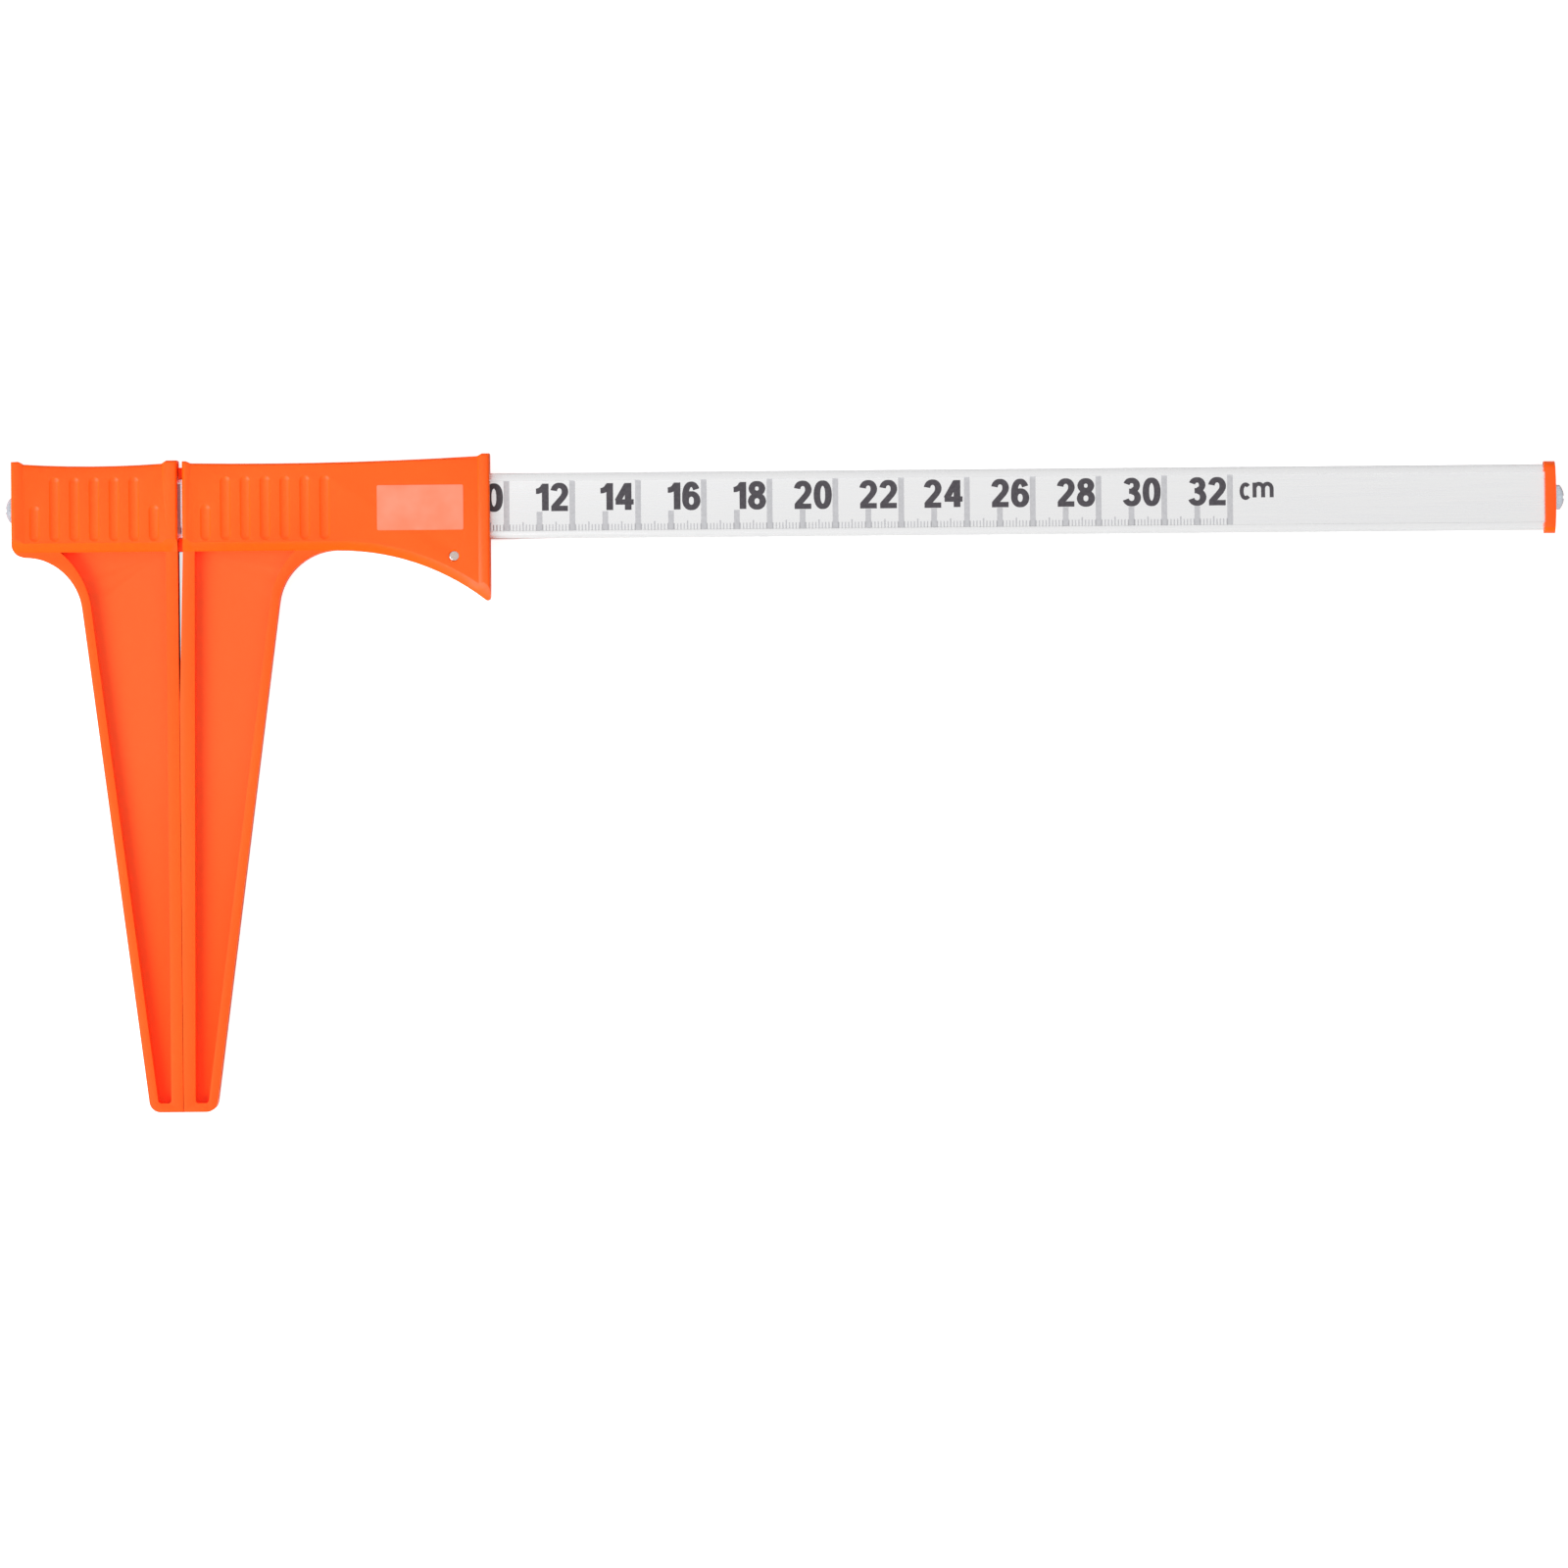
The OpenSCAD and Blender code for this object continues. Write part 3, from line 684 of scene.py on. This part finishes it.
# The ribbons are joined in one mesh: each one's faces count on from the vertices before it
def printedNumbers():
    ribbons = []
    step = scale["longStepMm"]
    for place in range(step, scale["lengthMm"] + 1, step):
        text = str(place // scale["centimetreStepMm"])
        lineLeft = scaleZero + (place - scale["lineMm"] / 2) * mm
        right = lineLeft - number["lineGapMm"] * mm
        ribbons += printedRow(number, text, right - rowWidthMm(number, text) * mm)
    ribbons += printedRow(unit, "cm", scaleZero + unit["leftMm"] * mm)
    counts = [len(vertices) for vertices, quads in ribbons]
    starts = np.cumsum(counts) - counts
    allVertices = np.concatenate([vertices for vertices, quads in ribbons])
    allFaces = np.concatenate([quads + start for (vertices, quads), start in zip(ribbons, starts)])
    newPiece("scale_numbers", allVertices, allFaces.tolist(), materials["charcoal"], "beam_body")


scaleLines()
printedNumbers()
print("stage: scale printed")


# Closed prism over a flat outline, given anticlockwise
def prism(outline, lowZ, highZ):
    count = len(outline)
    lower = np.column_stack([outline, np.full(count, lowZ)])
    upper = np.column_stack([outline, np.full(count, highZ)])
    ring = np.arange(count)
    after = (ring + 1) % count
    sides = np.stack([ring, after, after + count, ring + count], axis=1).tolist()
    faces = [ring[::-1].tolist(), (ring + count).tolist()] + sides
    return np.vstack([lower, upper]), faces


# Rounded rectangle: four quarter circles round the corner centres, anticlockwise from the upper right
def roundedOutline(lowX, lowY, highX, highY, radius, steps=8):
    left, right = lowX + radius, highX - radius
    bottom, top = lowY + radius, highY - radius
    centres = [(right, top), (left, top), (left, bottom), (right, bottom)]
    quarter = np.linspace(0, math.pi / 2, steps + 1)
    arcs = []
    for turn, (centreX, centreY) in enumerate(centres):
        angle = quarter + turn * math.pi / 2
        x = centreX + radius * np.cos(angle)
        y = centreY + radius * np.sin(angle)
        arcs.append(np.column_stack([x, y]))
    return np.vstack(arcs)


# The label lies on the sliding head's face: left and right from the scale's zero, low and high from the axis
label = {
    "leftMm": 60.7,
    "rightMm": 86.9,
    "lowMm": -7.1,
    "highMm": 6.6,
    "cornerMm": 0.5,
    "filmMm": 0.08,
    "headThicknessMm": 15.0,
}


def bareLabel():
    headFace = middleZ + label["headThicknessMm"] / 2 * mm
    outline = roundedOutline(
        scaleZero + label["leftMm"] * mm,
        beamAxisY + label["lowMm"] * mm,
        scaleZero + label["rightMm"] * mm,
        beamAxisY + label["highMm"] * mm,
        label["cornerMm"] * mm,
    )
    vertices, faces = prism(outline, headFace, headFace + label["filmMm"] * mm)
    newPiece("bare_label", vertices, faces, materials["film"], "slider")


bareLabel()
print("stage: label laid")


# Matt white paper: it glows a little for the camera, so that only the deeper shadows stay
floor = {
    "size": 8.0,  # metres across
    "colour": "#F7F7F7",
    "glow": 0.75,
}


def buildFloor():
    half = floor["size"] / 2
    corners = [(-half, -half, 0), (half, -half, 0), (half, half, 0), (-half, half, 0)]
    mesh = bpy.data.meshes.new("floor")
    mesh.from_pydata(corners, [], [(0, 1, 2, 3)])
    sheet = bpy.data.objects.new("floor", mesh)
    bpy.context.scene.collection.objects.link(sheet)
    material, tree = newMaterial("matt_paper_floor")
    paper = addNode(tree, "ShaderNodeBsdfDiffuse", {"Color": toLinear(floor["colour"])})
    rays = addNode(tree, "ShaderNodeLightPath")
    share = addNode(
        tree,
        "ShaderNodeMath",
        {"operation": "MULTIPLY", 1: floor["glow"]},
        {0: rays.outputs["Is Camera Ray"]},
    )
    glow = addNode(tree, "ShaderNodeEmission", {"Color": (1, 1, 1, 1)}, {"Strength": share.outputs[0]})
    both = addNode(tree, "ShaderNodeAddShader", links={0: paper.outputs[0], 1: glow.outputs[0]})
    addNode(tree, "ShaderNodeOutputMaterial", links={"Surface": both.outputs[0]})
    mesh.materials.append(material)


# The sky is white to the rays that see the background, and its light is bright overhead and low at the sides
sky = {
    "background": 1.0,
    "overhead": 0.77,
    "sides": 0.3,
    "reach": (0.55, 0.85),  # sine of the height above the horizon: from the sides' level to overhead
}


# 1 for rays that see the background itself (camera, glossy or transmission), otherwise 0
def backgroundRays(tree):
    rays = addNode(tree, "ShaderNodeLightPath")
    glossy = addNode(
        tree,
        "ShaderNodeMath",
        {"operation": "MAXIMUM"},
        {0: rays.outputs["Is Camera Ray"], 1: rays.outputs["Is Glossy Ray"]},
    )
    either = addNode(
        tree,
        "ShaderNodeMath",
        {"operation": "MAXIMUM"},
        {0: glossy.outputs[0], 1: rays.outputs["Is Transmission Ray"]},
    )
    return either.outputs[0]


def buildSky():
    world = bpy.data.worlds.new("studio_sky")
    bpy.context.scene.world = world
    world.use_nodes = True
    tree = world.node_tree
    tree.nodes.clear()
    place = addNode(tree, "ShaderNodeTexCoord")
    direction = addNode(tree, "ShaderNodeSeparateXYZ", links={0: place.outputs["Generated"]})
    low, high = sky["reach"]
    light = addNode(
        tree,
        "ShaderNodeMapRange",
        {"From Min": low, "From Max": high, "To Min": sky["sides"], "To Max": sky["overhead"]},
        {"Value": direction.outputs["Z"]},
    )
    strength = addNode(
        tree,
        "ShaderNodeMix",
        {"data_type": "FLOAT", 3: sky["background"]},
        {0: backgroundRays(tree), 2: light.outputs[0]},
    )
    shine = addNode(tree, "ShaderNodeBackground", {"Color": (1, 1, 1, 1)}, {"Strength": strength.outputs[0]})
    addNode(tree, "ShaderNodeOutputWorld", links={"Surface": shine.outputs[0]})


# A large round softbox at the lower left, which shines at the caliper
softbox = {
    "place": (-2.6, -1.83, 2.83),
    "size": 2.7,  # metres across
    "power": 158.0,  # watts
}


def buildSoftbox():
    lamp = bpy.data.lights.new("key_softbox", "AREA")
    lamp.shape = "DISK"
    lamp.size = softbox["size"]
    lamp.energy = softbox["power"]
    holder = bpy.data.objects.new("key_softbox", lamp)
    bpy.context.scene.collection.objects.link(holder)
    holder.location = softbox["place"]
    aim = -np.array(softbox["place"]) / np.linalg.norm(softbox["place"])
    holder.rotation_euler = (math.acos(-aim[2]), 0, math.atan2(aim[1], aim[0]) - math.pi / 2)


buildFloor()
buildSky()
buildSoftbox()
print("stage: studio")


# The camera looks straight down from far away, turned a little, so that the beam rises to the right
view = {
    "height": 4.0,
    "aimX": -0.00097,
    "aimY": -0.00155,
    "turnDegrees": -0.5,
    "sensorMm": 36.0,
    "imagePixels": 1600,
    "pixelsPerMm": 3.356,  # at the printed face of the beam
    "farLimit": 50,
}


def buildCamera():
    distanceMm = (view["height"] - faceZ) / mm
    camera = bpy.data.cameras.new("camera")
    camera.sensor_width = view["sensorMm"]
    camera.lens = view["sensorMm"] * distanceMm * view["pixelsPerMm"] / view["imagePixels"]
    camera.clip_end = view["farLimit"]
    holder = bpy.data.objects.new("camera", camera)
    bpy.context.scene.collection.objects.link(holder)
    holder.location = (view["aimX"], view["aimY"], view["height"])
    holder.rotation_euler = (0, 0, math.radians(view["turnDegrees"]))
    bpy.context.scene.camera = holder
    print("stage: camera, lens", round(camera.lens, 1), "mm")


buildCamera()
bpy.context.scene.view_settings.view_transform = "Standard"
